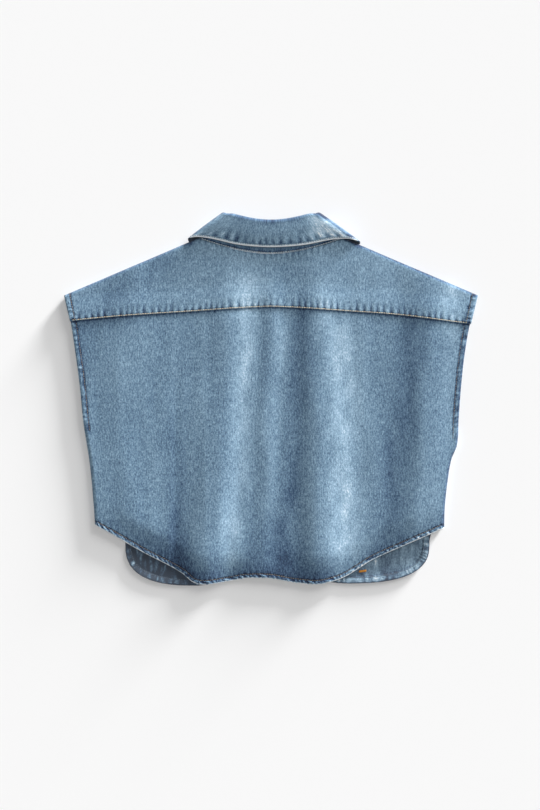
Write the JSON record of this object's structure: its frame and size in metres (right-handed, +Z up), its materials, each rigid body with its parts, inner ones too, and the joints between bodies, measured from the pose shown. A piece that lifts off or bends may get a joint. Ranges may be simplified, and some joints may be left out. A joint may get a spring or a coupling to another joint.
{
  "type": "denim vest",
  "caption": "Sleeveless cropped denim shirt with a turn-down collar, lapped back yoke and rounded tails, buttoned and laid flat with its back up.",
  "frame": {"origin": "on the surface that the vest lies on, under the middle of its outline", "axes": "+Z up from the surface, towards the back of the garment, which faces up; +Y towards the collar; +X to the right when seen from above, which is the wearer's right"},
  "size_m": [0.5622, 0.5094, 0.0208],
  "materials": {
    "denim": "washed light blue twill, faded on its raised folds and seam edges",
    "button": "pale four-hole shirt button"
  },
  "bodies": {
    "root": {"back_panel": "denim", "back_yoke": "denim", "front_left": "denim", "front_right": "denim", "button_band_left": "denim", "buttonhole_band_right": "denim", "collar_stand": "denim", "collar_leaf": "denim", "button_1": "button", "button_2": "button", "button_3": "button", "button_4": "button", "button_5": "button", "button_6": "button"}
  },
  "joints": []
}
